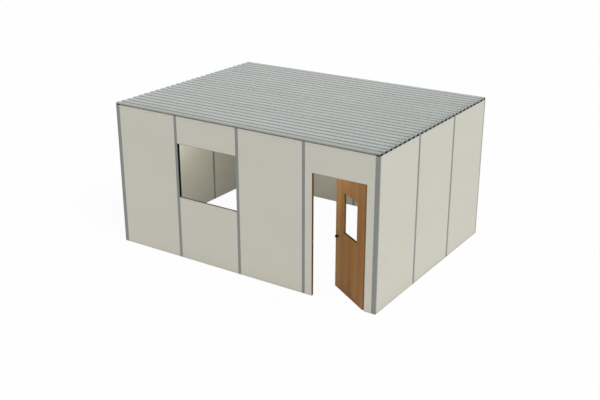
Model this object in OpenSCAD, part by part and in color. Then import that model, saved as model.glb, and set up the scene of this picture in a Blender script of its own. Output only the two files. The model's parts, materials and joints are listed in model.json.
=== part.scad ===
// Modular in-plant office: steel posts, insulated panels slotted between them,
// a window, a door that swings inward, and a fluted steel deck laid over the walls.
// Millimetres, +Z up. The origin is on the floor under the middle of the building,
// and the front wall, which has the door, faces -Y.

/* [Building] */
// Distance between post centres, the width of one bay
bay = 1219; // [1050:1:1500]
// Height of the walls from the floor to the underside of the deck
wall_h = 2440; // [2300:1:3200]
// Thickness of the walls over the post flanges
wall_t = 45; // [40:1:80]

/* [Posts] */
// Width of a post flange, seen on the face of the wall
flange_w = 52; // [40:1:80]
// Thickness of the folded steel in posts and tracks
steel_t = 2; // [1.5:0.5:3]
// Gap between a panel's edge and the web of the post it slots into
slot_gap = 1; // [0.5:0.5:3]

/* [Tracks] */
// Height of the floor track and of the top track
track_h = 25; // [20:1:50]

/* [Window] */
// Height of the window sill above the floor
sill_z = 1067; // [800:1:1300]
// Height of the heads of the window and of the door frame above the floor
head_z = 1991; // [1950:1:2150]
// Thickness of the sill cap
sill_t = 3; // [2:0.5:6]
// Thickness of the window glass and of the glass in the door
glass_t = 6; // [4:1:10]
// Height of the glazing strip under and over the window glass
strip_h = 10; // [8:1:20]
// Depth of the glazing strip under and over the window glass
strip_d = 14; // [12:1:24]
// Width of the black stop beside the window glass, on the room's side of it
stop_w = 9; // [6:1:15]
// How far the glass reaches into the groove of each strip
bite = 6; // [3:1:7]
// Gap between two glazing strips where they meet in a corner
strip_gap = 0.5; // [0.5:0.5:2]

/* [Door frame] */
// Clear width of the doorway
door_w = 914; // [800:1:950]
// Thickness of the lining round the doorway
lining_t = 1.5; // [1.5:0.5:6]
// Width of the casing round the doorway on the inside of the wall
casing_w = 45; // [40:1:60]

/* [Door leaf] */
// Angle that the leaf stands open
door_open = 32.3; // [0:0.1:90]
// Thickness of the leaf
leaf_t = 44; // [38:1:44]
// Clearance between the leaf and the lining on the hinge side
hinge_gap = 5; // [5:0.5:8]
// Clearance between the leaf and the lining on the latch side
latch_gap = 6.5; // [6.5:0.5:10]
// Clearance between the leaf and the lining at the head
head_gap = 6; // [5:0.5:10]
// Clearance between the leaf and the floor
floor_gap = 6; // [5:0.5:20]
// Width of the stile between the hinges and the glass
hinge_stile = 222; // [150:1:260]
// Width of the glass opening in the leaf
lite_w = 432; // [200:1:480]
// Height of the glass opening in the leaf
lite_h = 644; // [300:1:700]
// Height of the bottom of the glass opening above the floor
lite_z = 992; // [950:1:1200]
// Visible width of the black gasket round the door glass
gasket_w = 2; // [1.5:0.5:10]
// Depth of the black gasket round the door glass
gasket_d = 8; // [8:1:20]
// Depth of the black ledge under the door glass
ledge_d = 22; // [12:1:26]

/* [Knobs] */
// Distance from the latch edge of the leaf to the middle of the knob
backset = 85; // [60:1:127]
// Height of the knobs above the floor
knob_z = 882; // [860:1:940]
// Diameter of a knob
knob_d = 47; // [40:1:60]
// Distance that a knob's face stands off the leaf
knob_out = 50; // [40:1:75]
// Depth of the round grip of a knob
grip_h = 35; // [20:1:36]
// Diameter of the rose behind a knob
rose_d = 40; // [36:1:80]
// Thickness of the rose
rose_t = 4; // [3:1:4]
// Diameter of the neck between rose and knob
neck_d = 22; // [16:1:30]
// Diameter of the spindle tube that runs through the leaf
spindle_d = 20; // [12:1:24]
// Clearance round the spindle tube in the leaf
spindle_gap = 0.3; // [0.2:0.1:0.5]

/* [Hinges] */
// Height of a hinge
hinge_h = 100; // [80:1:140]
// Width of each hinge plate, measured from the pin
plate_w = 40; // [30:1:42]
// Thickness of each hinge plate
plate_t = 2; // [1.5:0.5:3]
// Radius of the hinge barrel
barrel_r = 5; // [4:0.5:6]
// Radius of the hinge pin
pin_r = 2.5; // [2:0.5:3]
// Clearance round the pin and between the knuckles
knuckle_gap = 0.3; // [0.2:0.1:0.5]

/* [Deck] */
// Number of flutes from the front of the deck to the back
flutes = 26; // [20:1:30]
// Height of the deck from its valleys to its ridges
deck_h = 38; // [30:1:60]
// Thickness of the deck steel
deck_t = 1.5; // [1:0.5:2]
// Width of a ridge at its top
ridge_w = 82; // [60:1:90]
// Width of a valley at its bottom
valley_w = 36; // [25:1:40]
// Distance from the front edge of the deck to the centre of the first ridge
front_lip_w = 30; // [20:1:60]
// Distance from the centre of the last ridge to the back edge of the deck
back_lip_w = 44; // [20:1:60]
// How far the front and back edges of the deck are turned down
lip_drop = 16; // [8:1:30]
// Flutes in each sheet except the last, which takes what is left
sheet_flutes = 7; // [6:1:8]
// Length of the black closure in each end of a ridge
closure_l = 30; // [15:1:40]
// How far those closures stand back from the ends of the deck
closure_inset = 6; // [2:1:15]
// Width of the closures along the front and back walls
closure_w = 23; // [10:1:30]
// How far the closures along the front and back walls stand back from the wall's face
closure_setback = 22; // [5:1:30]
// Clearance between a closure and the deck over it
closure_gap = 0.3; // [0.2:0.1:1]

/* [Hidden] */

post_color = "#838785";
track_color = "#bbbeba";
panel_color = "#c6c5b8";
door_color = "#89643e";
frame_color = "#62492f";
black_color = "#1e1e1b";
deck_color = "#b9bcb8";
hinge_color = "#8f8f8a";
glass_color = "#dfe9ea";

// The plan: front and back walls stand between the side walls
front_bays = 4;
side_bays = 3;
length = front_bays * bay + 2 * wall_t;
depth = side_bays * bay;
half_flange = flange_w / 2;
half_steel = steel_t / 2;

// Panels fill the posts between their flanges, and the tracks between their lips
panel_t = wall_t - 2 * steel_t;
panel_bottom = steel_t;
panel_top = wall_h - steel_t;
// Distance from a post's centre to the edge of the panel slotted into it
slot = half_steel + slot_gap;

// Post centres along a wall, measured from its left or front end
function front_x(i) = wall_t + i * bay;
function side_y(i) = i * bay;

// Edges of front panel number i, counted from the left
function panel_x0(i) = front_x(i) + (i == 0 ? steel_t + slot_gap : slot);
function panel_x1(i) = front_x(i + 1) - (i == front_bays - 1 ? steel_t + slot_gap : slot);
// Edges of side panel number i, counted from the front
function panel_y0(i) = side_y(i) + (i == 0 ? steel_t + slot_gap : slot);
function panel_y1(i) = side_y(i + 1) - (i == side_bays - 1 ? steel_t + slot_gap : slot);
// Edges of the faces of the posts on either side of a bay
function bay_x0(i) = front_x(i) + half_flange;
function bay_x1(i) = front_x(i + 1) - half_flange;
function bay_y0(i) = side_y(i) + half_flange;
function bay_y1(i) = side_y(i + 1) - half_flange;

// The window fills the second bay of the front wall
window_bay = 1;
glass_y = wall_t / 2;

// The doorway stands in the middle of the last bay of the front wall
door_bay = 3;
door_x0 = (front_x(door_bay) + front_x(door_bay + 1)) / 2 - door_w / 2;
door_x1 = door_x0 + door_w;
door_head = head_z - lining_t;
leaf_w = door_w - hinge_gap - latch_gap;
leaf_top = door_head - head_gap;
pin_x = door_x1 - hinge_gap / 2;
pin_y = wall_t + barrel_r;
// Places on the leaf, measured back from the pin
hinge_edge = -hinge_gap / 2;
latch_edge = hinge_edge - leaf_w;
lite_x1 = hinge_edge - hinge_stile;
lite_x0 = lite_x1 - lite_w;
// The leaf's inner face is level with the wall's, a barrel's radius from the pin
leaf_in = -barrel_r;
leaf_out = leaf_in - leaf_t;
leaf_mid = (leaf_in + leaf_out) / 2;

hinge_heights = [220, 1000, 1760];
// The middle knuckle belongs to the leaf, the outer two to the frame
knuckle_h = hinge_h * 0.4;

flute_pitch = (depth - front_lip_w - back_lip_w) / flutes;
// Sideways shift of a fold between the upper and the lower face of the deck
web_run = (flute_pitch - ridge_w - valley_w) / 2;
fold_shift = deck_t * tan(atan2(deck_h - deck_t, web_run) / 2);
over = 10;

// From the wall corner at the front left to the part's own origin
module at_corner() {
    translate([-length / 2, -depth / 2, 0])
        children();
}

// Turns a piece drawn for the front left corner round to another corner
module in_corner(right, back) {
    mirror([right ? 1 : 0, 0, 0])
        mirror([0, back ? 1 : 0, 0])
            at_corner()
                children();
}

// ---- Posts ----

// The corner post takes the front wall on one side and the side wall on the other
module corner_post() {
    far = wall_t + half_flange;
    inside = wall_t - steel_t;
    color(post_color)
        linear_extrude(wall_h)
            polygon([
                [0, 0], [far, 0], [far, steel_t], [wall_t + steel_t, steel_t],
                [wall_t + steel_t, inside], [far, inside], [far, wall_t], [wall_t, wall_t],
                [wall_t, half_flange], [inside, half_flange], [inside, steel_t],
                [steel_t, steel_t], [steel_t, half_flange], [0, half_flange]
            ]);
}

// An H section, its centre at x = 0 and its outer face at y = 0
module stud() {
    color(post_color)
        linear_extrude(wall_h)
            union() {
                translate([-half_flange, 0])
                    square([flange_w, steel_t]);
                translate([-half_flange, wall_t - steel_t])
                    square([flange_w, steel_t]);
                translate([-half_steel, 0])
                    square([steel_t, wall_t]);
            }
}

module front_stud(i) {
    at_corner()
        translate([front_x(i), 0, 0])
            stud();
}

module back_studs() {
    at_corner()
        for (i = [1:front_bays - 1])
            translate([front_x(i), depth - wall_t, 0])
                stud();
}

module side_studs() {
    for (i = [1:side_bays - 1])
        translate([wall_t, side_y(i), 0])
            rotate([0, 0, 90])
                stud();
}

// ---- Tracks ----

// A channel along x, open upward
module channel(run) {
    color(track_color)
        rotate([90, 0, 90])
            linear_extrude(run)
                difference() {
                    square([wall_t, track_h]);
                    translate([steel_t, steel_t])
                        square([wall_t - 2 * steel_t, track_h]);
                }
}

// A length of track at the corner frame's x and y, turned along the side walls on request
module track(x, y, run, side, top) {
    translate([x, y, top ? wall_h : 0])
        rotate([0, 0, side ? 90 : 0])
            mirror([0, 0, top ? 1 : 0])
                channel(run);
}

module side_tracks(top) {
    for (i = [0:side_bays - 1])
        for (x = [wall_t, length])
            track(x, bay_y0(i), bay_y1(i) - bay_y0(i), true, top);
}

module floor_track() {
    at_corner() {
        for (i = [0:front_bays - 1])
            track(bay_x0(i), depth - wall_t, bay_x1(i) - bay_x0(i), false, false);
        for (i = [0:door_bay - 1])
            track(bay_x0(i), 0, bay_x1(i) - bay_x0(i), false, false);
        track(bay_x0(door_bay), 0, door_x0 - lining_t - bay_x0(door_bay), false, false);
        track(door_x1 + lining_t, 0, bay_x1(door_bay) - door_x1 - lining_t, false, false);
        side_tracks(false);
    }
}

module top_track() {
    at_corner() {
        for (i = [0:front_bays - 1])
            for (y = [0, depth - wall_t])
                track(bay_x0(i), y, bay_x1(i) - bay_x0(i), false, true);
        side_tracks(true);
    }
}

// ---- Panels ----

module front_slab(x0, x1, z0, z1) {
    color(panel_color)
        at_corner()
            translate([x0, steel_t, z0])
                cube([x1 - x0, panel_t, z1 - z0]);
}

module back_panel(i) {
    color(panel_color)
        at_corner()
            translate([panel_x0(i), depth - wall_t + steel_t, panel_bottom])
                cube([panel_x1(i) - panel_x0(i), panel_t, panel_top - panel_bottom]);
}

module side_panel(i, right) {
    color(panel_color)
        at_corner()
            translate([(right ? length - wall_t : 0) + steel_t, panel_y0(i), panel_bottom])
                cube([panel_t, panel_y1(i) - panel_y0(i), panel_top - panel_bottom]);
}

module window_sill_panel() {
    front_slab(panel_x0(window_bay), panel_x1(window_bay), panel_bottom, sill_z - sill_t);
}

module window_head_panel() {
    front_slab(panel_x0(window_bay), panel_x1(window_bay), head_z, panel_top);
}

module door_left_panel() {
    front_slab(panel_x0(door_bay), door_x0 - lining_t, panel_bottom, panel_top);
}

module door_head_panel() {
    front_slab(door_x0 - lining_t, door_x1 + lining_t, head_z, panel_top);
}

module door_right_panel() {
    front_slab(door_x1 + lining_t, panel_x1(door_bay), panel_bottom, panel_top);
}

// ---- Window ----

// The cap over the sill panel lies between the posts' flanges
module window_sill() {
    color(track_color)
        at_corner()
            translate([bay_x0(window_bay), 0, sill_z - sill_t])
                cube([bay_x1(window_bay) - bay_x0(window_bay), wall_t, sill_t]);
}

// Strips fill the posts' slots beside the glass and stop it on the room's side, and two thin
// ones lie under and over it
module window_gasket() {
    web_x0 = front_x(window_bay) + half_steel;
    web_x1 = front_x(window_bay + 1) - half_steel;
    flange_x0 = bay_x0(window_bay);
    flange_x1 = bay_x1(window_bay);
    color(black_color)
        at_corner()
            difference() {
                union() {
                    for (x = [web_x0, flange_x1])
                        translate([x, steel_t, sill_z - sill_t])
                            cube([flange_x0 - web_x0, panel_t, head_z - sill_z + sill_t]);
                    for (x = [flange_x0, flange_x1 - stop_w])
                        translate([x, glass_y + glass_t / 2, sill_z + strip_h + strip_gap])
                            cube([
                                stop_w,
                                wall_t - steel_t - glass_y - glass_t / 2,
                                head_z - sill_z - 2 * (strip_h + strip_gap)
                            ]);
                    for (z = [sill_z, head_z - strip_h])
                        translate([flange_x0 + strip_gap, glass_y - strip_d / 2, z])
                            cube([flange_x1 - flange_x0 - 2 * strip_gap, strip_d, strip_h]);
                }
                window_pane();
            }
}

module window_pane() {
    translate([bay_x0(window_bay) - bite, glass_y - glass_t / 2, sill_z + strip_h - bite])
        cube([
            bay_x1(window_bay) - bay_x0(window_bay) + 2 * bite,
            glass_t,
            head_z - sill_z - 2 * (strip_h - bite)
        ]);
}

module window_glass() {
    color(glass_color)
        at_corner()
            window_pane();
}

// ---- Door frame ----

// A lining on the cut edge of the wall, with a casing on the inside above the floor track
module side_jamb() {
    cube([lining_t, wall_t, door_head]);
    translate([0, wall_t - steel_t, track_h])
        cube([casing_w, steel_t, door_head - track_h]);
}

module door_jamb_right() {
    color(frame_color)
        at_corner()
            translate([door_x1, 0, 0])
                side_jamb();
}

module door_jamb_left() {
    color(frame_color)
        at_corner()
            translate([door_x0, 0, 0])
                mirror([1, 0, 0])
                    side_jamb();
}

module door_jamb_head() {
    color(frame_color)
        at_corner() {
            translate([door_x0 - lining_t, 0, door_head])
                cube([door_w + 2 * lining_t, wall_t, lining_t]);
            translate([door_x0 - casing_w, wall_t - steel_t, door_head])
                cube([door_w + 2 * casing_w, steel_t, casing_w]);
        }
}

// ---- Hinges ----

// Puts a piece drawn round the hinge pin in its place in the doorway
module at_pin() {
    at_corner()
        translate([pin_x, pin_y, 0])
            children();
}

// The same, swung with the leaf
module on_leaf() {
    at_pin()
        rotate([0, 0, -door_open])
            children();
}

// The room round the barrel that one plate leaves for the other's knuckles
module knuckle_room(z0, z1) {
    translate([0, 0, z0 - knuckle_gap])
        cylinder(h = z1 - z0 + 2 * knuckle_gap, r = barrel_r + knuckle_gap, $fn = 48);
}

module hinge_frame_plates() {
    reach = door_x1 - pin_x + plate_w;
    outer_h = (hinge_h - knuckle_h) / 2;
    color(hinge_color)
        at_pin()
            for (z = hinge_heights)
                translate([0, 0, z - hinge_h / 2]) {
                    difference() {
                        union() {
                            translate([0, -barrel_r, 0])
                                cube([reach, plate_t, hinge_h]);
                            cylinder(h = outer_h, r = barrel_r, $fn = 48);
                            translate([0, 0, hinge_h - outer_h])
                                cylinder(h = outer_h, r = barrel_r, $fn = 48);
                        }
                        knuckle_room(outer_h, hinge_h - outer_h);
                    }
                    cylinder(h = hinge_h, r = pin_r, $fn = 48);
                }
}

module hinge_door_plates() {
    outer_h = (hinge_h - knuckle_h) / 2;
    color(hinge_color)
        on_leaf()
            for (z = hinge_heights)
                translate([0, 0, z - hinge_h / 2])
                    difference() {
                        union() {
                            translate([-plate_w, -barrel_r, 0])
                                cube([plate_w, plate_t, hinge_h]);
                            translate([0, 0, outer_h])
                                cylinder(h = knuckle_h, r = barrel_r, $fn = 48);
                        }
                        knuckle_room(-over, outer_h);
                        knuckle_room(hinge_h - outer_h, hinge_h + over);
                        translate([0, 0, -over])
                            cylinder(h = hinge_h + 2 * over, r = pin_r + knuckle_gap, $fn = 48);
                    }
}

// ---- Door leaf ----

// The opening in the leaf, made smaller all round by inset, from one depth to another
module lite_cut(inset, y0, y1) {
    translate([lite_x0 + inset, y0, lite_z + inset])
        cube([lite_w - 2 * inset, y1 - y0, lite_h - 2 * inset]);
}

module door_leaf() {
    color(door_color)
        on_leaf()
            difference() {
                translate([latch_edge, leaf_out, floor_gap])
                    cube([leaf_w, leaf_t, leaf_top - floor_gap]);
                lite_cut(0, leaf_out - over, leaf_in + over);
                translate([latch_edge + backset, leaf_in + over, knob_z])
                    rotate([90, 0, 0])
                        cylinder(h = leaf_t + 2 * over, d = spindle_d + 2 * spindle_gap, $fn = 48);
            }
}

// A narrow black ring round the glass, with a deeper ledge under it on the outside
module lite_gasket() {
    color(black_color)
        on_leaf()
            difference() {
                union() {
                    lite_cut(0, leaf_mid - gasket_d / 2, leaf_mid + gasket_d / 2);
                    translate([lite_x0, leaf_mid + gasket_d / 2 - ledge_d, lite_z])
                        cube([lite_w, ledge_d, gasket_w]);
                }
                lite_cut(gasket_w, leaf_out - over, leaf_in + over);
                lite_pane();
            }
}

module lite_pane() {
    lite_cut(gasket_w / 2, leaf_mid - glass_t / 2, leaf_mid + glass_t / 2);
}

module lite_glass() {
    color(glass_color)
        on_leaf()
            lite_pane();
}

// A rose, a neck and a round knob, standing off the plane y = 0 towards -Y
module knob() {
    rotate([90, 0, 0])
        rotate_extrude($fn = 64)
            polygon([
                [0, 0], [rose_d / 2, 0], [rose_d / 2, rose_t / 2], [rose_d / 2 - rose_t / 2, rose_t],
                [neck_d / 2, rose_t], [neck_d / 2, knob_out - grip_h],
                [knob_d * 0.4, knob_out - grip_h * 0.9], [knob_d / 2, knob_out - grip_h * 0.65],
                [knob_d / 2, knob_out - grip_h * 0.25], [knob_d * 0.4, knob_out], [0, knob_out]
            ]);
}

module door_knobs() {
    color(black_color)
        on_leaf()
            translate([latch_edge + backset, 0, knob_z]) {
                translate([0, leaf_out, 0])
                    knob();
                translate([0, leaf_in, 0])
                    mirror([0, 1, 0])
                        knob();
                translate([0, leaf_in, 0])
                    rotate([90, 0, 0])
                        cylinder(h = leaf_t, d = spindle_d, $fn = 48);
            }
}

// ---- Deck ----

function ridge_y(i) = front_lip_w + i * flute_pitch;

// Folds of one valley between ridges i and i + 1: side is how far each fold is shifted outward
function valley_points(i, side, z_ridge, z_valley) = let (mid = ridge_y(i) + flute_pitch / 2) [
    [mid - valley_w / 2 - web_run - side, z_ridge],
    [mid - valley_w / 2 - side, z_valley],
    [mid + valley_w / 2 + side, z_valley],
    [mid + valley_w / 2 + web_run + side, z_ridge]
];

// One sheet, from flute number first to flute number last; the outer sheets end in a turned-down lip
module roof_sheet(first, last) {
    lip_end = deck_h - lip_drop;
    front = first == 0
        ? [[deck_t, deck_h - deck_t], [deck_t, lip_end], [0, lip_end], [0, deck_h]]
        : [[ridge_y(first), deck_h - deck_t], [ridge_y(first), deck_h]];
    back = last == flutes
        ? [[depth, deck_h], [depth, lip_end], [depth - deck_t, lip_end], [depth - deck_t, deck_h - deck_t]]
        : [[ridge_y(last), deck_h], [ridge_y(last), deck_h - deck_t]];
    upper = [
        for (i = [first:last - 1])
            each valley_points(i, 0, deck_h, deck_t)
    ];
    lower = [
        for (i = [last - 1:-1:first])
            each [
                for (k = [3:-1:0])
                    valley_points(i, fold_shift, deck_h - deck_t, 0)[k]
            ]
    ];
    color(deck_color)
        at_corner()
            translate([0, 0, wall_h])
                rotate([90, 0, 90])
                    linear_extrude(length)
                        polygon(concat(front, upper, back, lower));
}

// The cross-section of the room under ridge number i, which the lips bound at the front and back
module closure_shape(i) {
    top = deck_h - deck_t - closure_gap;
    lip = deck_t + closure_gap;
    before = valley_points(i - 1, fold_shift + closure_gap, top, 0);
    after = valley_points(i, fold_shift + closure_gap, top, 0);
    front = i == 0 ? [[lip, 0], [lip, top]] : [before[2], before[3]];
    back = i == flutes ? [[depth - lip, top], [depth - lip, 0]] : [after[0], after[1]];
    polygon(concat(front, back));
}

// A closure in both ends of every ridge, and one along the top of the front and back walls
module flute_closures() {
    along = closure_inset + closure_l + closure_gap;
    color(black_color)
        at_corner()
            translate([0, 0, wall_h]) {
                for (x = [closure_inset, length - closure_inset - closure_l])
                    for (i = [0:flutes])
                        translate([x, 0, 0])
                            rotate([90, 0, 90])
                                linear_extrude(closure_l)
                                    closure_shape(i);
                for (y = [closure_setback, depth - closure_setback - closure_w])
                    translate([along, y, 0])
                        cube([length - 2 * along, closure_w, deck_h - deck_t - closure_gap]);
            }
}

in_corner(false, false) corner_post();  // corner_post_front_left
in_corner(true, false) corner_post();  // corner_post_front_right
in_corner(false, true) corner_post();  // corner_post_back_left
in_corner(true, true) corner_post();  // corner_post_back_right
front_stud(1);  // front_stud_1
front_stud(2);  // front_stud_2
front_stud(3);  // front_stud_3
back_studs();
at_corner() side_studs();  // left_studs
in_corner(true, false) side_studs();  // right_studs
floor_track();
top_track();
front_slab(panel_x0(0), panel_x1(0), panel_bottom, panel_top);  // front_panel_left
window_sill_panel();
window_head_panel();
front_slab(panel_x0(2), panel_x1(2), panel_bottom, panel_top);  // front_panel_middle
door_left_panel();
door_head_panel();
door_right_panel();
back_panel(0);  // back_panel_1
back_panel(1);  // back_panel_2
back_panel(2);  // back_panel_3
back_panel(3);  // back_panel_4
side_panel(0, false);  // left_panel_1
side_panel(1, false);  // left_panel_2
side_panel(2, false);  // left_panel_3
side_panel(0, true);  // right_panel_1
side_panel(1, true);  // right_panel_2
side_panel(2, true);  // right_panel_3
window_sill();
window_gasket();
window_glass();
door_jamb_left();
door_jamb_right();
door_jamb_head();
hinge_frame_plates();
hinge_door_plates();
door_leaf();
lite_gasket();
lite_glass();
door_knobs();
flute_closures();
roof_sheet(0, sheet_flutes);  // roof_sheet_1
roof_sheet(sheet_flutes, 2 * sheet_flutes);  // roof_sheet_2
roof_sheet(2 * sheet_flutes, 3 * sheet_flutes);  // roof_sheet_3
roof_sheet(3 * sheet_flutes, flutes);  // roof_sheet_4
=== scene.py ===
import json
import math

import bmesh
import bpy
from mathutils import Matrix, Vector


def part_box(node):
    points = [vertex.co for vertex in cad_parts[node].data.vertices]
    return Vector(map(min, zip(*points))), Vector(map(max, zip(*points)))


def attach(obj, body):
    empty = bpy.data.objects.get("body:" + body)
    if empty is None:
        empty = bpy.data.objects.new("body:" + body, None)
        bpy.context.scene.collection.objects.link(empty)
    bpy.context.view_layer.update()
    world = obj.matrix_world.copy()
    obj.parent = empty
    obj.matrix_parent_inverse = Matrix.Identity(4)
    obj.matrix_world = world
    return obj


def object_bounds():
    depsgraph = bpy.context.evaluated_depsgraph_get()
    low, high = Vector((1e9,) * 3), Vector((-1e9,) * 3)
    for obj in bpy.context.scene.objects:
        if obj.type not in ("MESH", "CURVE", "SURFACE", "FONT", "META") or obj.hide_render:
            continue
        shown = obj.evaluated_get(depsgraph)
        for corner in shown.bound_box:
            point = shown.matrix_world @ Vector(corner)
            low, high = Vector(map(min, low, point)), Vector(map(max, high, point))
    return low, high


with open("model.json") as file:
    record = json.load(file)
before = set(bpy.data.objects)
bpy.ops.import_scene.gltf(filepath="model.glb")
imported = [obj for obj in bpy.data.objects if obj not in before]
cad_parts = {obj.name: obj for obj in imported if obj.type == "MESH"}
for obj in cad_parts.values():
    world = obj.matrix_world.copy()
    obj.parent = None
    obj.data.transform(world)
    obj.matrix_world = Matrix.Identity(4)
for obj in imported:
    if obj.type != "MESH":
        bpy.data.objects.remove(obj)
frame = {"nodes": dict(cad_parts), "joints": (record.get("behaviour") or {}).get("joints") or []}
cad_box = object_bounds()
nodes = frame["nodes"]


# ---- Studio ----
# A white floor and a white surround, seen from off the front right corner and from above the roof.
# The sky is even, one broad lamp favours the roof and the right wall, and three lamps that nobody
# sees hang under the roof inside, as the office's own ceiling lights would.
camera_data = bpy.data.cameras.new("camera")
camera_data.sensor_width = 36.0
camera_data.lens = 54.58
camera_data.clip_end = 200.0
camera = bpy.data.objects.new("camera", camera_data)
camera.location = (8.096, -12.313, 6.383)
camera.rotation_euler = (math.radians(90 - 21.131), 0, math.radians(33.486))
bpy.context.scene.collection.objects.link(camera)
bpy.context.scene.camera = camera
bpy.context.scene.view_settings.view_transform = "Standard"


def hang_lamp(name, kind, energy, place, turn, **settings):
    """A lamp at a place, turned by three angles in degrees."""
    data = bpy.data.lights.new(name, kind)
    data.energy = energy
    for key, value in settings.items():
        setattr(data, key, value)
    lamp = bpy.data.objects.new(name, data)
    lamp.location = place
    lamp.rotation_euler = [math.radians(angle) for angle in turn]
    bpy.context.scene.collection.objects.link(lamp)
    return lamp


hang_lamp("key", "SUN", 1.5, (0, 0, 8), (42, 0, 66), angle=math.radians(30))
room_lamps = {
    "left": (77, (-1.3, -0.7, 2.3), (1.0, 0.945, 0.925)),
    "middle": (6.5, (0.3, 0.3, 2.25), (1.0, 0.9, 0.84)),
    "door": (26, (1.4, -1.45, 2.3), (0.9, 0.935, 0.96)),
}
for name, (energy, place, color) in room_lamps.items():
    lamp = hang_lamp("room_lamp_" + name, "POINT", energy, place, (0, 0, 0), shadow_soft_size=0.15)
    lamp.data.color = color
    lamp.visible_camera = False
    lamp.visible_glossy = False
    lamp.visible_transmission = False


def add(tree, kind, sockets, **settings):
    """A shader node with its settings, each socket given a value or wired to another's output."""
    node = tree.nodes.new("ShaderNode" + kind)
    for key, value in settings.items():
        setattr(node, key, value)
    for key, value in sockets.items():
        if isinstance(value, bpy.types.NodeSocket):
            tree.links.new(value, node.inputs[key])
        else:
            node.inputs[key].default_value = value
    return node


def math_node(tree, operation, first, second=0.0, clamp=False):
    """Two values added, multiplied or compared."""
    return add(tree, "Math", {0: first, 1: second}, operation=operation, use_clamp=clamp).outputs[0]


def spread(tree, value, low, high, new_low, new_high):
    """A value carried from one range to another, held at both ends."""
    sockets = {"Value": value, 1: low, 2: high, 3: new_low, 4: new_high}
    return add(tree, "MapRange", sockets).outputs[0]


def seen_share(tree, share):
    """A share for rays from the eye, by way of glass and mirrors too, and nothing for the rest."""
    path = add(tree, "LightPath", {}).outputs
    direct = math_node(tree, "MAXIMUM", path["Is Camera Ray"], path["Is Glossy Ray"])
    every = math_node(tree, "MAXIMUM", direct, path["Is Transmission Ray"])
    # Light that a matt surface has already scattered isn't made any stronger
    unscattered = math_node(tree, "LESS_THAN", path["Diffuse Depth"], 0.5)
    return math_node(tree, "MULTIPLY", math_node(tree, "MULTIPLY", every, unscattered), share)


def show_white(tree, output, unseen, white, share):
    """Wires a surface that looks white to the eye and gives its own light to everything else."""
    both = add(tree, "MixShader", {0: seen_share(tree, share), 1: unseen, 2: white})
    add(tree, output, {"Surface": both.outputs[0]})


plain_white = (1, 1, 1, 1)
world = bpy.data.worlds.new("studio")
bpy.context.scene.world = world
world.use_nodes = True
tree = world.node_tree
tree.nodes.clear()
sky = add(tree, "Background", {"Color": plain_white, "Strength": 0.62})
white = add(tree, "Background", {"Color": plain_white, "Strength": 1.0})
show_white(tree, "OutputWorld", sky.outputs[0], white.outputs[0], 1.0)

floor_reach = 60
floor_drop = 0.0005
shape = bmesh.new()
bmesh.ops.create_grid(shape, x_segments=1, y_segments=1, size=floor_reach)
data = bpy.data.meshes.new("floor")
shape.to_mesh(data)
shape.free()
floor = bpy.data.objects.new("floor", data)
floor.location.z = -floor_drop
bpy.context.scene.collection.objects.link(floor)
floor_white = bpy.data.materials.new("floor_white")
floor_white.use_nodes = True
tree = floor_white.node_tree
tree.nodes.clear()
# Between the office's walls the floor throws up less light
wall_space = 0.06
spot = add(tree, "TexCoord", {}).outputs["Object"]
apart = add(tree, "VectorMath", {0: spot}, operation="ABSOLUTE").outputs[0]
across = add(tree, "SeparateXYZ", {0: apart}).outputs
inside = [
    math_node(tree, "LESS_THAN", across[axis], cad_box[1][number] - wall_space)
    for number, axis in enumerate("XY")
]
indoors = math_node(tree, "MULTIPLY", *inside)
tones = {0: indoors, 6: (0.9, 0.9, 0.9, 1), 7: (0.4, 0.4, 0.4, 1)}
tone = add(tree, "Mix", tones, data_type="RGBA").outputs[2]
matt = add(tree, "BsdfDiffuse", {"Color": tone})
white = add(tree, "Emission", {"Color": plain_white, "Strength": 1.0})
lit_through = spread(tree, indoors, 0.0, 1.0, 0.93, 0.975)
show_white(tree, "OutputMaterial", matt.outputs[0], white.outputs[0], lit_through)
data.materials.append(floor_white)


# ---- Posts ----
# Corner posts and H posts, folded from 2 mm steel and powder-coated mid grey. They stand on the
# floor, carry the deck, and hold the panels in the slots between their flanges.
def srgb(text):
    """A colour written as six hex digits, in the linear values that sockets take."""
    parts = [int(text[i:i + 2], 16) / 255 for i in (0, 2, 4)]
    return (*[c / 12.92 if c <= 0.04045 else ((c + 0.055) / 1.055) ** 2.4 for c in parts], 1.0)


def mixed(tree, share, first, second, kind="MIX"):
    """One colour turned into another by a share, or combined with it in another way."""
    sockets = {0: share, 6: first, 7: second}
    return add(tree, "Mix", sockets, data_type="RGBA", blend_type=kind).outputs[2]


def noise(tree, place, scale, detail=2.0):
    """Even noise from 0 to 1, with so many lumps to the metre."""
    sockets = {"Vector": place, "Scale": scale, "Detail": detail}
    return add(tree, "TexNoise", sockets).outputs[0]


def new_effect(name, takes, gives):
    """A shader node group with named sockets: its tree, what comes in and what goes out."""
    group = bpy.data.node_groups.new(name, "ShaderNodeTree")
    for label, kind in takes.items():
        group.interface.new_socket(label, in_out="INPUT", socket_type="NodeSocket" + kind)
    for label, kind in gives.items():
        group.interface.new_socket(label, in_out="OUTPUT", socket_type="NodeSocket" + kind)
    entry = group.nodes.new("NodeGroupInput").outputs
    leave = group.nodes.new("NodeGroupOutput").inputs
    return group, entry, leave


def new_material(name):
    """A material with a place to read patterns from, and its Principled shader's sockets."""
    material = bpy.data.materials.new(name)
    material.use_nodes = True
    tree = material.node_tree
    place = add(tree, "TexCoord", {}).outputs["Object"]
    return material, tree, place, tree.nodes["Principled BSDF"].inputs


def finish(material, *names):
    """Gives CAD nodes their finish."""
    for name in names:
        nodes[name].data.materials.clear()
        nodes[name].data.materials.append(material)


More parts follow.
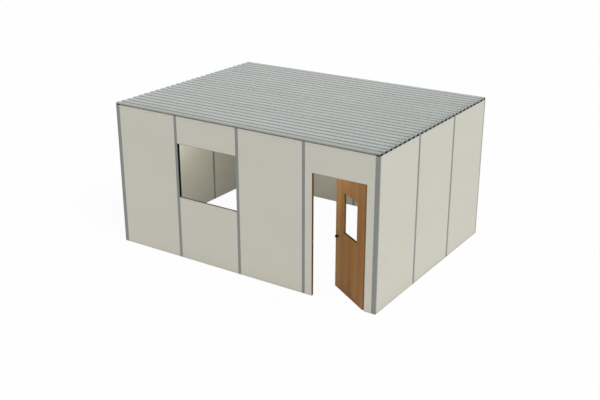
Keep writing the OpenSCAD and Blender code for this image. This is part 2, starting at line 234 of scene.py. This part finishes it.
# A tone that drifts a little over the surface, in patches of a size
uneven_tone, entry, leave = new_effect(
    "uneven_tone",
    {"Place": "Vector", "Color": "Color", "Size": "Float", "Strength": "Float"},
    {"Color": "Color"},
)
tree = uneven_tone
scale = math_node(tree, "DIVIDE", 1.0, entry["Size"])
lumps = spread(tree, noise(tree, entry["Place"], scale, 3.0), 0.3, 0.7, -1.0, 1.0)
drift = add(tree, "Math", {0: lumps, 1: entry["Strength"], 2: 1.0}, operation="MULTIPLY_ADD")
tree.links.new(mixed(tree, 1.0, entry["Color"], drift.outputs[0], "MULTIPLY"), leave["Color"])

# Rubbed places along sharp edges, and a normal that rounds those edges off
worn_edges, entry, leave = new_effect(
    "worn_edges",
    {"Place": "Vector", "Reach": "Float", "Amount": "Float"},
    {"Mask": "Float", "Normal": "Vector"},
)
tree = worn_edges
rounded = add(tree, "Bevel", {"Radius": entry["Reach"]}, samples=4).outputs[0]
flat = add(tree, "NewGeometry", {}).outputs["Normal"]
turned = add(tree, "VectorMath", {0: rounded, 1: flat}, operation="DOT_PRODUCT").outputs["Value"]
edge = spread(tree, turned, 0.99, 0.86, 0.0, 1.0)
rubbed = spread(tree, noise(tree, entry["Place"], 45.0, 5.0), 0.48, 0.62, 0.0, 1.0)
mask = math_node(tree, "MULTIPLY", math_node(tree, "MULTIPLY", edge, rubbed), entry["Amount"])
tree.links.new(mask, leave["Mask"])
tree.links.new(rounded, leave["Normal"])

# Dust and mop marks that fade out upward from the floor
floor_dust, entry, leave = new_effect(
    "floor_dust",
    {"Place": "Vector", "Height": "Float", "Amount": "Float"},
    {"Mask": "Float"},
)
tree = floor_dust
level = add(tree, "SeparateXYZ", {0: entry["Place"]}).outputs["Z"]
fade = math_node(tree, "SUBTRACT", 1.0, math_node(tree, "DIVIDE", level, entry["Height"]), True)
cloud = spread(tree, noise(tree, entry["Place"], 9.0, 6.0), 0.3, 0.75, 0.35, 1.0)
mask = math_node(tree, "MULTIPLY", math_node(tree, "POWER", fade, 2.2), cloud)
tree.links.new(math_node(tree, "MULTIPLY", mask, entry["Amount"]), leave["Mask"])


def powder_coat(name, color, worn_color, roughness):
    """Baked powder paint: orange peel, a slightly uneven tone, rubbed edges and floor dust."""
    material, tree, place, shader = new_material(name)
    sockets = {"Place": place, "Color": srgb(color), "Size": 0.4, "Strength": 0.025}
    tone = add(tree, "Group", sockets, node_tree=uneven_tone).outputs["Color"]
    sockets = {"Place": place, "Reach": 0.0015, "Amount": 0.55}
    edges = add(tree, "Group", sockets, node_tree=worn_edges).outputs
    tone = mixed(tree, edges["Mask"], tone, srgb(worn_color))
    sockets = {"Place": place, "Height": 0.3, "Amount": 0.22}
    dust = add(tree, "Group", sockets, node_tree=floor_dust).outputs["Mask"]
    tree.links.new(mixed(tree, dust, tone, srgb("948c7c")), shader["Base Color"])
    sheen = noise(tree, place, 14.0, 3.0)
    gloss = spread(tree, sheen, 0.3, 0.7, roughness - 0.05, roughness + 0.07)
    tree.links.new(spread(tree, dust, 0.0, 0.4, gloss, 0.8), shader["Roughness"])
    peel = noise(tree, place, 520.0, 1.0)
    sockets = {"Strength": 0.25, "Distance": 0.00025, "Height": peel, "Normal": edges["Normal"]}
    tree.links.new(add(tree, "Bump", sockets).outputs[0], shader["Normal"])
    return material


post_grey = powder_coat("post_grey", "7f8380", "a9aca9", 0.42)
finish(
    post_grey,
    "corner_post_front_left", "corner_post_front_right",
    "corner_post_back_left", "corner_post_back_right",
    "front_stud_1", "front_stud_2", "front_stud_3",
    "back_studs", "left_studs", "right_studs",
)


# ---- Tracks ----
# Light grey steel channels between the posts. The floor track is anchored to the floor and takes
# the panels' feet, and the top track caps the panels under the deck.
track_grey = powder_coat("track_grey", "c2c2b9", "d6d6d0", 0.45)
finish(track_grey, "floor_track", "top_track")


# ---- Panels ----
# Sandwich panels 41 mm thick, an insulating core between two boards faced with warm off-white
# vinyl that has a fine pebbled grain. Each slides down between two posts.
vinyl, tree, place, shader = new_material("vinyl")
sockets = {"Place": place, "Color": srgb("c6c4b7"), "Size": 0.8, "Strength": 0.012}
tone = add(tree, "Group", sockets, node_tree=uneven_tone).outputs["Color"]
# Hand and trolley marks: faint, long and level, and only below the height of a table
level = add(tree, "SeparateXYZ", {0: place}).outputs["Z"]
low_down = spread(tree, level, 0.35, 0.9, 1.0, 0.0)
drawn_out = add(tree, "Mapping", {"Vector": place, "Scale": (2.2, 2.2, 26.0)}).outputs[0]
rubs = spread(tree, noise(tree, drawn_out, 1.6, 5.0), 0.64, 0.8, 0.0, 0.16)
tone = mixed(tree, math_node(tree, "MULTIPLY", rubs, low_down), tone, srgb("8f8b80"))
sockets = {"Place": place, "Height": 0.28, "Amount": 0.2}
dust = add(tree, "Group", sockets, node_tree=floor_dust).outputs["Mask"]
tree.links.new(mixed(tree, dust, tone, srgb("a49c8b")), shader["Base Color"])
gloss = spread(tree, noise(tree, place, 5.0, 4.0), 0.3, 0.7, 0.52, 0.62)
tree.links.new(gloss, shader["Roughness"])
pebbles = add(tree, "TexVoronoi", {"Vector": place, "Scale": 420.0}, feature="SMOOTH_F1").outputs[0]
weave = noise(tree, place, 950.0, 2.0)
grain = math_node(tree, "ADD", pebbles, math_node(tree, "MULTIPLY", weave, 0.5))
sockets = {"Strength": 0.3, "Distance": 0.0004, "Height": grain}
tree.links.new(add(tree, "Bump", sockets).outputs[0], shader["Normal"])
finish(vinyl, *[name for name in nodes if "panel" in name])


# ---- Window ----
# A light cap over the sill panel, black rubber glazing strips in the posts' slots and under and
# over the pane, and one large clear pane of 6 mm float glass that they hold.
finish(track_grey, "window_sill")

rubber, tree, place, shader = new_material("rubber")
sockets = {"Place": place, "Color": srgb("151513"), "Size": 0.12, "Strength": 0.15}
tone = add(tree, "Group", sockets, node_tree=uneven_tone).outputs["Color"]
bloom = spread(tree, noise(tree, place, 30.0, 5.0), 0.55, 0.75, 0.0, 0.12)
tone = mixed(tree, bloom, tone, srgb("383734"))
# Dust lies on the strip under the pane
level = add(tree, "SeparateXYZ", {0: place}).outputs["Z"]
strip_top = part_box("window_gasket")[0].z + 0.012
paler_part = spread(tree, level, strip_top, strip_top + 0.008, 0.45, 0.0)
tree.links.new(mixed(tree, paler_part, tone, srgb("8a8372")), shader["Base Color"])
tree.links.new(spread(tree, noise(tree, place, 60.0), 0.3, 0.7, 0.6, 0.75), shader["Roughness"])
sockets = {"Strength": 0.3, "Distance": 0.0003, "Height": noise(tree, place, 700.0)}
tree.links.new(add(tree, "Bump", sockets).outputs[0], shader["Normal"])
shader["Specular IOR Level"].default_value = 0.2
finish(rubber, "window_gasket")

clear_glass, tree, place, shader = new_material("clear_glass")
sockets = {"Place": place, "Color": (0.985, 0.995, 0.99, 1), "Size": 0.5, "Strength": 0.008}
tone = add(tree, "Group", sockets, node_tree=uneven_tone).outputs["Color"]
tree.links.new(tone, shader["Base Color"])
shader["Roughness"].default_value = 0.0
shader["IOR"].default_value = 1.05
shader["Transmission Weight"].default_value = 1.0
finish(clear_glass, "window_glass")


# ---- Door frame ----
# A mid-brown steel lining wraps the cut edges of the wall, and a flat casing of the same steel
# covers the joint on the room's side, held by screws with low heads.
frame_brown = powder_coat("frame_brown", "63442a", "80644a", 0.6)
frame_brown.node_tree.nodes["Principled BSDF"].inputs["Specular IOR Level"].default_value = 0.12
finish(frame_brown, "door_jamb_left", "door_jamb_right", "door_jamb_head")


def turned_disc(shape, place, radii, depth, middle, sides=32):
    """A thick disc on a place's Z axis, with radii for its two ends and its middle at a height."""
    return bmesh.ops.create_cone(
        shape, cap_ends=True, segments=sides, radius1=radii[0], radius2=radii[1], depth=depth,
        matrix=place @ Matrix.Translation((0, 0, middle)),
    )


def socket_screw(shape, place, radius, height):
    """A low round screw head on a place's Z axis, with a round recess in its top."""
    top_radius, rim, bevel, recess = radius * 0.72, radius * 0.3, radius * 0.04, height * 0.7
    made = turned_disc(shape, place, (radius, top_radius), height, height / 2, sides=18)
    axis = (place.to_3x3() @ Vector((0, 0, 1))).normalized()
    faces = {face for vert in made["verts"] for face in vert.link_faces}
    top = max(faces, key=lambda face: face.calc_center_median().dot(axis))
    bmesh.ops.inset_individual(shape, faces=[top], thickness=rim)
    bmesh.ops.inset_individual(shape, faces=[top], thickness=bevel)
    bmesh.ops.translate(shape, verts=top.verts, vec=-axis * recess)


def make_piece(name, shape, body, material):
    """Turns a finished shape into a piece that moves with a body."""
    data = bpy.data.meshes.new(name)
    bmesh.ops.recalc_face_normals(shape, faces=shape.faces)
    shape.to_mesh(data)
    shape.free()
    data.materials.append(material)
    piece = bpy.data.objects.new(name, data)
    bpy.context.scene.collection.objects.link(piece)
    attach(piece, body)


screw_radius = 0.0045
screw_height = 0.0016
side_levels = (0.12, 0.56, 1.44, 1.86)
head_shares = (0.12, 0.5, 0.88)
head_drop = 0.022
to_room = Matrix.Rotation(math.radians(-90), 4, "X")
shape = bmesh.new()
left_low, left_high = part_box("door_jamb_left")
right_low, right_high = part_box("door_jamb_right")
head_low, head_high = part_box("door_jamb_head")
for x in ((left_low.x + left_high.x) / 2, (right_low.x + right_high.x) / 2):
    for z in side_levels:
        place = Matrix.Translation((x, left_high.y, z))
        socket_screw(shape, place @ to_room, screw_radius, screw_height)
for share in head_shares:
    x = head_low.x + (head_high.x - head_low.x) * share
    place = Matrix.Translation((x, head_high.y, head_high.z - head_drop))
    socket_screw(shape, place @ to_room, screw_radius, screw_height)
make_piece("casing_screws", shape, "building", frame_brown)


# ---- Hinges ----
# Three steel butt hinges, each with one plate screwed to the casing and one to the leaf's inner
# face. Their knuckles turn on a fixed pin, and screws with low heads hold the plates.
brushed_steel, tree, place, shader = new_material("brushed_steel")
along = add(tree, "Mapping", {"Vector": place, "Scale": (40.0, 40.0, 1400.0)}).outputs[0]
brushing = noise(tree, along, 1.0, 3.0)
sockets = {"Place": place, "Color": srgb("b4b3ae"), "Size": 0.03, "Strength": 0.06}
tone = add(tree, "Group", sockets, node_tree=uneven_tone).outputs["Color"]
scored = spread(tree, brushing, 0.3, 0.7, 0.0, 0.2)
tree.links.new(mixed(tree, scored, tone, srgb("8f8e89")), shader["Base Color"])
tree.links.new(spread(tree, brushing, 0.3, 0.7, 0.28, 0.44), shader["Roughness"])
shader["Metallic"].default_value = 1.0
sockets = {"Place": place, "Reach": 0.0006, "Amount": 0.0}
edges = add(tree, "Group", sockets, node_tree=worn_edges).outputs
sockets = {"Strength": 0.15, "Distance": 0.0001, "Height": brushing, "Normal": edges["Normal"]}
tree.links.new(add(tree, "Bump", sockets).outputs[0], shader["Normal"])
finish(brushed_steel, "hinge_frame_plates", "hinge_door_plates")

hinge = frame["joints"][0]
pin = Vector(hinge["pos_m"])
stands_open = math.radians(hinge["range_deg"][0])
leaf_place = Matrix.Translation(pin) @ Matrix.Rotation(stands_open, 4, "Z")
hinge_heights = (0.220, 1.000, 1.760)
plate_t = 0.003
plate_rows = (-0.036, 0.0, 0.036)
plate_screw = (0.0036, 0.0009)
outer_screws = 0.032
middle_screw = 0.018


def plate_screws(pin_place, side):
    """Three screws in each plate on one side of the pin, the middle one nearer to it."""
    shape = bmesh.new()
    for level in hinge_heights:
        for row in plate_rows:
            out = side * (outer_screws if row else middle_screw)
            place = pin_place @ Matrix.Translation((out, -plate_t, level + row))
            socket_screw(shape, place @ to_room, *plate_screw)
    return shape


shape = plate_screws(Matrix.Translation(pin), 1)
make_piece("hinge_frame_screws", shape, "building", brushed_steel)
make_piece("hinge_leaf_screws", plate_screws(leaf_place, -1), "door", brushed_steel)


# ---- Door leaf ----
# A flush leaf 44 mm thick, veneered in mid-brown oak with the grain upright and finished in satin
# lacquer. Its latch edge carries a steel face plate with a spring bolt.
veneer, tree, place, shader = new_material("oak_veneer")
sockets = {"Vector": place, "Location": pin, "Rotation": (0, 0, stands_open)}
on_leaf = add(tree, "Mapping", sockets, vector_type="TEXTURE").outputs[0]


def stretched(x, y, z):
    """Places on the leaf, drawn out along the grain."""
    return add(tree, "Mapping", {"Vector": on_leaf, "Scale": (x, y, z)}).outputs[0]


sockets = {"Vector": stretched(5.5, 5.5, 0.5), "Scale": 1.0, "Distortion": 5.5}
sockets.update({"Detail": 3.0, "Detail Scale": 1.4})
figure = add(tree, "TexWave", sockets, bands_direction="X", wave_profile="SIN").outputs["Fac"]
broad = noise(tree, stretched(9.0, 9.0, 0.7), 1.0, 3.0)
tone = mixed(tree, spread(tree, figure, 0.15, 0.9, 0.0, 0.55), srgb("b27f46"), srgb("8c5f30"))
tone = mixed(tree, spread(tree, broad, 0.4, 0.7, 0.0, 0.35), tone, srgb("b88951"))
# The face is laid from sheets of veneer side by side, each paler towards the hinges, with these
# differences fading out at the top. Painted shade darkens the top near the latch edge, painted
# light pales the lower leaf towards the latch edge, most on the narrow sheet there, and a grey
# painted sheen pales the top
sheet_w = 0.276
first_joint = -0.763
from_pin, out, level = add(tree, "SeparateXYZ", {0: on_leaf}).outputs
lower_leaf = spread(tree, level, 1.55, 1.85, 1.0, 0.1)
# Painted shade: darker at the top, most near the latch edge
by_height = spread(tree, level, 1.5, 1.8, 0.0, 1.0)
by_width = spread(tree, from_pin, -0.85, -0.5, 0.6, 0.05)
painted_shade_at_top = math_node(tree, "MULTIPLY", by_height, by_width)
counted = math_node(tree, "DIVIDE", math_node(tree, "SUBTRACT", from_pin, first_joint), sheet_w)
over_sheet = math_node(tree, "FRACT", counted)
darker = math_node(tree, "MULTIPLY", spread(tree, over_sheet, 0.0, 1.0, 0.38, 0.0), lower_leaf)
tone = mixed(tree, math_node(tree, "ADD", darker, painted_shade_at_top), tone, srgb("6f4724"))
# Painted light: paler towards the latch edge and palest on the narrow sheet there, lower down
at_latch = math_node(tree, "LESS_THAN", counted, 0.0)
painted_light_near_latch = spread(tree, from_pin, -0.78, -0.45, 0.4, 0.0)
for share in (math_node(tree, "MULTIPLY", at_latch, 0.62), painted_light_near_latch):
    paler = math_node(tree, "MULTIPLY", share, lower_leaf)
    tone = mixed(tree, paler, tone, srgb("c99c64"))
# Painted sheen: a pale grey tone over the top
painted_sheen_at_top = spread(tree, level, 1.5, 1.8, 0.0, 0.16)
tone = mixed(tree, painted_sheen_at_top, tone, srgb("a98f70"))
# Solid lippings close the edges and the sides of the glass's opening, made paler than the veneer
# as painted light on these shaded faces
leaf_middle = -0.027
lipping_half = 0.0215
off_middle = math_node(tree, "ABSOLUTE", math_node(tree, "SUBTRACT", out, leaf_middle))
on_edge = math_node(tree, "LESS_THAN", off_middle, lipping_half)
tone = mixed(tree, math_node(tree, "MULTIPLY", on_edge, 0.75), tone, srgb("d3a66c"))
# Growth stripes, fibres and open pores run up every sheet
stripes = noise(tree, stretched(75.0, 75.0, 1.3), 1.0, 2.0)
fibres = noise(tree, stretched(330.0, 330.0, 6.0), 1.0, 5.0)
pores = spread(tree, noise(tree, stretched(900.0, 900.0, 26.0), 1.0, 1.0), 0.58, 0.68, 0.0, 0.55)
tone = mixed(tree, spread(tree, stripes, 0.4, 0.6, 0.0, 0.45), tone, srgb("764c24"))
tone = mixed(tree, spread(tree, fibres, 0.35, 0.65, 0.0, 0.3), tone, srgb("6d431d"))
tone = mixed(tree, pores, tone, srgb("5d3c20"))
sockets = {"Place": place, "Height": 0.2, "Amount": 0.12}
dust = add(tree, "Group", sockets, node_tree=floor_dust).outputs["Mask"]
tree.links.new(mixed(tree, dust, tone, srgb("6b4f33")), shader["Base Color"])
tree.links.new(spread(tree, fibres, 0.3, 0.7, 0.5, 0.62), shader["Roughness"])
shader["Specular IOR Level"].default_value = 0.12
sockets = {"Place": place, "Reach": 0.002, "Amount": 0.0}
edges = add(tree, "Group", sockets, node_tree=worn_edges).outputs
grain = math_node(tree, "SUBTRACT", fibres, pores)
sockets = {"Strength": 0.2, "Distance": 0.0002, "Height": grain, "Normal": edges["Normal"]}
tree.links.new(add(tree, "Bump", sockets).outputs[0], shader["Normal"])
finish(veneer, "door_leaf")


def soft_block(shape, size, place, radius):
    """A block with its middle at a place and all its edges rounded."""
    made = bmesh.ops.create_cube(shape, size=1.0, matrix=place @ Matrix.Diagonal((*size, 1.0)))
    # Each edge once, and always in the same order
    edges = list(dict.fromkeys(edge for vert in made["verts"] for edge in vert.link_edges))
    bmesh.ops.bevel(
        shape, geom=edges, offset=radius, segments=2, affect="EDGES", profile=0.5, material=-1
    )


latch_edge = -0.905
knob_height = 0.882
face_plate = (0.0016, 0.025, 0.058)
bolt = (0.0040, 0.013, 0.020)
latch_screw = (0.0032, 0.0005)
screw_row = 0.022


def on_latch_edge(proud, row=0.0):
    """A place in the middle of the latch edge, so far off it and so far above the knobs."""
    return leaf_place @ Matrix.Translation((latch_edge - proud, leaf_middle, knob_height + row))


shape = bmesh.new()
soft_block(shape, face_plate, on_latch_edge(0.0007), 0.0005)
soft_block(shape, bolt, on_latch_edge(0.0025), 0.0008)
outward = Matrix.Rotation(math.radians(-90), 4, "Y")
for row in (-screw_row, screw_row):
    socket_screw(shape, on_latch_edge(0.0015, row) @ outward, *latch_screw)
make_piece("latch", shape, "door", brushed_steel)

# The strike plate on the lining, level with the bolt
strike = (0.0012, 0.030, 0.070)
strike_row = 0.028
strike_t = strike[0]
strike_face = left_high.x
closed_y = pin.y + leaf_middle
shape = bmesh.new()
place = Matrix.Translation((strike_face + strike_t / 2, closed_y, knob_height))
soft_block(shape, strike, place, 0.0004)
outward = Matrix.Rotation(math.radians(90), 4, "Y")
for row in (-strike_row, strike_row):
    place = Matrix.Translation((strike_face + strike_t, closed_y, knob_height + row))
    socket_screw(shape, place @ outward, *latch_screw)
make_piece("strike_plate", shape, "building", brushed_steel)


# ---- Door glass ----
# A pane of clear glass in the upper half of the leaf, held all round by a narrow brown gasket,
# with a deeper ledge of it under the pane on the outside, made darker there as painted shade.
glazing_brown, tree, place, shader = new_material("glazing_brown")
ledge_rise = 0.025
ledge_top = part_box("lite_gasket")[0].z + ledge_rise
level = add(tree, "SeparateXYZ", {0: place}).outputs["Z"]
# Painted shade: the ledge under the pane is darker than the sides
over_ledge = spread(tree, level, ledge_top, ledge_top + 0.01, 0.0, 1.0)
tone = mixed(tree, over_ledge, srgb("3b2c1d"), srgb("75532f"))
sockets = {"Place": place, "Color": tone, "Size": 0.08, "Strength": 0.12}
tone = add(tree, "Group", sockets, node_tree=uneven_tone).outputs["Color"]
tree.links.new(tone, shader["Base Color"])
tree.links.new(spread(tree, noise(tree, place, 60.0), 0.3, 0.7, 0.6, 0.75), shader["Roughness"])
sockets = {"Strength": 0.3, "Distance": 0.0003, "Height": noise(tree, place, 700.0)}
tree.links.new(add(tree, "Bump", sockets).outputs[0], shader["Normal"])
shader["Specular IOR Level"].default_value = 0.2
finish(glazing_brown, "lite_gasket")
finish(clear_glass, "lite_glass")


# ---- Knobs ----
# A round satin-black knob on each side, turned on a neck and a thin rose, and joined by a spindle
# through the leaf. The outer one has a lock cylinder and the inner one a turn button.
satin_black, tree, place, shader = new_material("satin_black")
sockets = {"Place": place, "Color": srgb("131210"), "Size": 0.02, "Strength": 0.12}
tone = add(tree, "Group", sockets, node_tree=uneven_tone).outputs["Color"]
sockets = {"Place": place, "Reach": 0.001, "Amount": 0.3}
edges = add(tree, "Group", sockets, node_tree=worn_edges).outputs
tree.links.new(mixed(tree, edges["Mask"], tone, srgb("4f4a43")), shader["Base Color"])
gloss = spread(tree, noise(tree, place, 90.0, 3.0), 0.3, 0.7, 0.42, 0.55)
tree.links.new(gloss, shader["Roughness"])
shader["Specular IOR Level"].default_value = 0.15
peel = noise(tree, place, 1500.0)
sockets = {"Strength": 0.15, "Distance": 0.0001, "Height": peel, "Normal": edges["Normal"]}
tree.links.new(add(tree, "Bump", sockets).outputs[0], shader["Normal"])
finish(satin_black, "door_knobs")

backset = 0.085
knob_x = latch_edge + backset
outer_face = -0.099
inner_face = 0.045
cylinder_radii, cylinder_depth = (0.0075, 0.0070), 0.0024
button_radii, button_depth = (0.0090, 0.0080), 0.0040
keyway_cover = (0.0012, 0.0080, 0.0016)
button_grip = (0.0040, 0.0140, 0.0080)
to_outside = Matrix.Rotation(math.radians(90), 4, "X")
shape = bmesh.new()
place = leaf_place @ Matrix.Translation((knob_x, outer_face, knob_height)) @ to_outside
turned_disc(shape, place, cylinder_radii, cylinder_depth, 0.0006)
# The keyway's cover, upright and just proud of the cylinder's face
soft_block(shape, keyway_cover, place @ Matrix.Translation((0, 0, 0.0012)), 0.0003)
place = leaf_place @ Matrix.Translation((knob_x, inner_face, knob_height)) @ to_room
turned_disc(shape, place, button_radii, button_depth, 0.0010)
soft_block(shape, button_grip, place @ Matrix.Translation((0, 0, 0.0060)), 0.0012)
make_piece("lock_cylinder", shape, "door", satin_black)


# ---- Deck ----
# Four sheets of galvanised steel with square flutes along the building, laid over the walls. The
# front and back edges are turned down, and black foam closures fill the ends of the ridges, their
# near-black also a painted shade for the flute ends. The strips of foam along the front and back
# walls are paler, with dust and with painted light on their shaded recess.
galvanised, tree, place, shader = new_material("galvanised")
cells = add(tree, "TexVoronoi", {"Vector": place, "Scale": 75.0}).outputs["Color"]
spangle = add(tree, "SeparateColor", {0: cells}).outputs[0]
sockets = {"Place": place, "Color": srgb("babebb"), "Size": 0.6, "Strength": 0.02}
tone = add(tree, "Group", sockets, node_tree=uneven_tone).outputs["Color"]
tone = mixed(tree, spread(tree, spangle, 0.0, 1.0, 0.0, 0.14), tone, srgb("8f9492"))
# Dull streaks and settled dust drawn out along the flutes, thickest in the valleys, where the
# darkening is painted shade as well
spot = add(tree, "SeparateXYZ", {0: place}).outputs
deck_low, deck_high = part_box("roof_sheet_1")
in_valley = spread(tree, spot["Z"], deck_low.z, deck_low.z + 0.030, 0.5, 0.12)
along = add(tree, "Mapping", {"Vector": place, "Scale": (1.6, 34.0, 20.0)}).outputs[0]
streaks = spread(tree, noise(tree, along, 1.0, 5.0), 0.35, 0.7, 0.55, 1.0)
valley_dust_and_shade = math_node(tree, "MULTIPLY", in_valley, streaks)
tone = mixed(tree, valley_dust_and_shade, tone, srgb("8e918b"))
# Painted shade: the flat strips along the front and back and their turned-down edges are darker
# all over, most of all on top at the front, and the sheets darken a little towards the front and
# right end
front_edge = deck_low.y
end_edge = deck_high.x
strip_in, strip_out = 0.034, 0.026
from_middle = math_node(tree, "ABSOLUTE", spot["Y"])
strips = spread(tree, from_middle, -front_edge - strip_in, -front_edge - strip_out, 0.0, 0.5)
front = spread(tree, spot["Y"], front_edge + 0.16, front_edge + 0.21, 0.2, 0.0)
right = spread(tree, spot["X"], end_edge - 1.9, end_edge - 0.4, 0.0, 0.13)
right_end = spread(tree, spot["X"], end_edge - 0.14, end_edge - 0.05, 0.0, 0.38)
on_top = spread(tree, spot["Z"], deck_high.z - 0.002, deck_high.z - 0.001, 0.0, 0.8)
front_top = spread(tree, spot["Y"], front_edge + strip_out, front_edge + strip_in, 1.0, 0.0)
painted_deck_shade = math_node(tree, "MAXIMUM", strips, math_node(tree, "MULTIPLY", front_top, on_top))
painted_deck_shade = math_node(tree, "MAXIMUM", painted_deck_shade, front)
for more in (right, right_end):
    painted_deck_shade = math_node(tree, "ADD", painted_deck_shade, more, clamp=True)
tree.links.new(mixed(tree, painted_deck_shade, tone, srgb("909490")), shader["Base Color"])
gloss = spread(tree, spangle, 0.0, 1.0, 0.36, 0.5)
tree.links.new(spread(tree, valley_dust_and_shade, 0.0, 0.6, gloss, 0.68), shader["Roughness"])
shader["Metallic"].default_value = 0.35
sockets = {"Place": place, "Reach": 0.003, "Amount": 0.0}
edges = add(tree, "Group", sockets, node_tree=worn_edges).outputs
waves = noise(tree, place, 160.0, 3.0)
sockets = {"Strength": 0.12, "Distance": 0.0002, "Height": waves, "Normal": edges["Normal"]}
tree.links.new(add(tree, "Bump", sockets).outputs[0], shader["Normal"])
finish(galvanised, "roof_sheet_1", "roof_sheet_2", "roof_sheet_3", "roof_sheet_4")

foam, tree, place, shader = new_material("closure_foam")
bubbles = add(tree, "TexVoronoi", {"Vector": place, "Scale": 600.0}).outputs["Distance"]
bubbled = spread(tree, bubbles, 0.1, 0.6, 0.0, 1.0)
# Near-black foam, dark as painted shade for the flute ends as well
tone = mixed(tree, bubbled, srgb("0f0d0b"), srgb("241d17"))
# The strips along the front and back are paler, with dust and painted light on their shaded
# recess, and this stops where the ends' pieces begin
strip_end = end_edge - 0.078
from_middle = math_node(tree, "ABSOLUTE", add(tree, "SeparateXYZ", {0: place}).outputs["X"])
paler_part = spread(tree, from_middle, strip_end, strip_end + 0.01, 1.0, 0.0)
strip_dust_and_light = mixed(tree, bubbled, srgb("a99d88"), srgb("b8ac97"))
tree.links.new(mixed(tree, paler_part, tone, strip_dust_and_light), shader["Base Color"])
tree.links.new(spread(tree, bubbles, 0.1, 0.6, 0.85, 0.95), shader["Roughness"])
shader["Specular IOR Level"].default_value = 0.2
sockets = {"Strength": 0.5, "Distance": 0.0008, "Height": bubbles}
tree.links.new(add(tree, "Bump", sockets).outputs[0], shader["Normal"])
finish(foam, "flute_closures")

# Side laps: the edge of each sheet lies over the first ridge of the next
lap_t = 0.001
lap_w = 0.044
lap_shift = 0.012
shape = bmesh.new()
joints = [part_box(f"roof_sheet_{number}")[0].y for number in (2, 3, 4)]
for y in joints:
    size = (deck_high.x - deck_low.x, lap_w, lap_t)
    place = Matrix.Translation((0, y + lap_shift, deck_high.z + lap_t / 2))
    soft_block(shape, size, place, 0.0003)
make_piece("side_laps", shape, "building", galvanised)


# ---- Deck screws ----
# Zinc-plated self-drilling screws with a hexagon head and a sealing washer: one in each valley
# over each side wall, and shorter ones along the side laps.
zinc, tree, place, shader = new_material("zinc_plate")
mottle = noise(tree, place, 220.0, 4.0)
mottled = spread(tree, mottle, 0.35, 0.65, 0.0, 1.0)
tree.links.new(mixed(tree, mottled, srgb("a3a6a6"), srgb("85878a")), shader["Base Color"])
tree.links.new(spread(tree, mottle, 0.3, 0.7, 0.35, 0.55), shader["Roughness"])
shader["Metallic"].default_value = 1.0


def roof_screw(shape, place):
    """A washer and a hexagon head, standing on a place's Z axis."""
    washer_radii, washer_t = (0.0080, 0.0070), 0.0016
    head_radii, head_h, rim, crown = (0.0046, 0.0046), 0.0044, 0.0007, 0.0005
    turned_disc(shape, place, washer_radii, washer_t, washer_t / 2, sides=16)
    made = turned_disc(shape, place, head_radii, head_h, washer_t + head_h / 2, sides=6)
    faces = {face for vert in made["verts"] for face in vert.link_faces}
    top = max(faces, key=lambda face: face.calc_center_median().z)
    bmesh.ops.inset_individual(shape, faces=[top], thickness=rim)
    bmesh.ops.translate(shape, verts=top.verts, vec=(0, 0, crown))


flutes = 26
flutes_per_sheet = 7
sheet_t = 0.0015
lap_screws = 9
end_space = 0.25
flute_low, flute_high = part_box("roof_sheet_2")
pitch = (flute_high.y - flute_low.y) / flutes_per_sheet
walls = [sum(corner.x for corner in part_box(name)) / 2 for name in ("left_studs", "right_studs")]
shape = bmesh.new()
for number in range(flutes):
    y = flute_low.y + (number - flutes_per_sheet + 0.5) * pitch
    for x in walls:
        place = Matrix.Translation((x, y, deck_low.z + sheet_t))
        roof_screw(shape, place @ Matrix.Rotation(number * 1.7 + x, 4, "Z"))
step = (deck_high.x - deck_low.x - 2 * end_space) / (lap_screws - 1)
for y in joints:
    for number in range(lap_screws):
        x = deck_low.x + end_space + number * step
        place = Matrix.Translation((x, y + lap_shift, deck_high.z + lap_t))
        roof_screw(shape, place @ Matrix.Rotation(number * 2.3, 4, "Z"))
make_piece("deck_screws", shape, "building", zinc)
